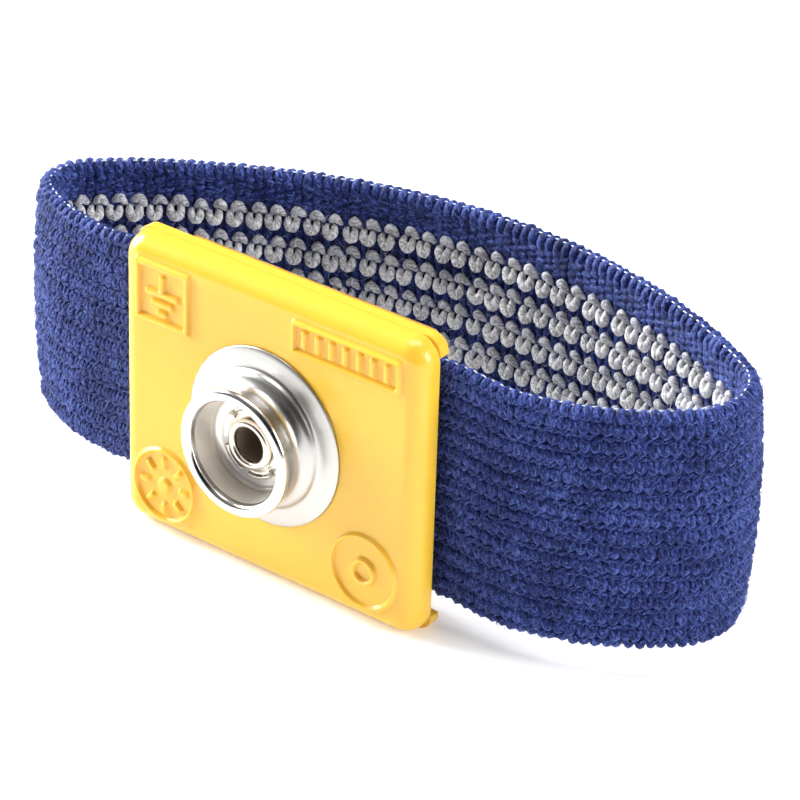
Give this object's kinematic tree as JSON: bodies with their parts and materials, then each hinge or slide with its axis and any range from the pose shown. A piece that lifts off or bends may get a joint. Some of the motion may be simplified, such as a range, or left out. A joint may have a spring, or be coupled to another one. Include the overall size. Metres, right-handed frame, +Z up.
{
  "type": "anti-static wrist strap",
  "caption": "Knitted elastic wrist strap with conductive yarn on its inner face, held in a small rectangular plastic buckle with a round metal snap stud.",
  "frame": {"origin": "centre of the whole strap's box in X and Y, on the ground under the buckle's lower edge", "axes": "+X along the buckle to its right seen from the front, +Y from the stud towards the wrist, +Z up across the band's width"},
  "size_m": [0.0615, 0.0284, 0.0238],
  "materials": {
    "yellow_plastic": "glossy moulded yellow",
    "nickel": "bright nickel plating",
    "stainless": "fine brushed stainless",
    "blue_knit": "matt royal blue knitted polyester",
    "silver_yarn": "silver-grey conductive yarn, soft sheen",
    "elastic": "white covered elastic thread",
    "clear_yarn": "clear monofilament edge yarn"
  },
  "bodies": {
    "buckle": {"front_cover": "yellow_plastic", "rear_cover": "yellow_plastic", "snap_stud": "nickel", "star_washer": "nickel", "hollow_rivet": "nickel", "skin_plate": "stainless", "band_end_left": "blue_knit", "band_end_right": "blue_knit", "yarn_end_left": "silver_yarn", "yarn_end_right": "silver_yarn", "band_side_left": "blue_knit", "band_side_right": "blue_knit", "yarn_side_left": "silver_yarn", "yarn_side_right": "silver_yarn", "elastic_side_left": "elastic", "elastic_side_right": "elastic", "edge_top_left": "clear_yarn", "edge_top_right": "clear_yarn", "edge_bottom_left": "clear_yarn", "edge_bottom_right": "clear_yarn"},
    "back_span": {"band_back": "blue_knit", "yarn_back": "silver_yarn", "elastic_back": "elastic", "edge_top_back": "clear_yarn", "edge_bottom_back": "clear_yarn"}
  },
  "joints": [
    {"name": "band_stretch", "type": "slide", "parent": "buckle", "child": "back_span", "axis": [0, 1, 0], "range_m": [0, 0.03], "stiffness_N_per_m": 80, "deforming": ["band_side_left", "band_side_right", "yarn_side_left", "yarn_side_right", "elastic_side_left", "elastic_side_right", "edge_top_left", "edge_top_right", "edge_bottom_left", "edge_bottom_right"]}
  ]
}
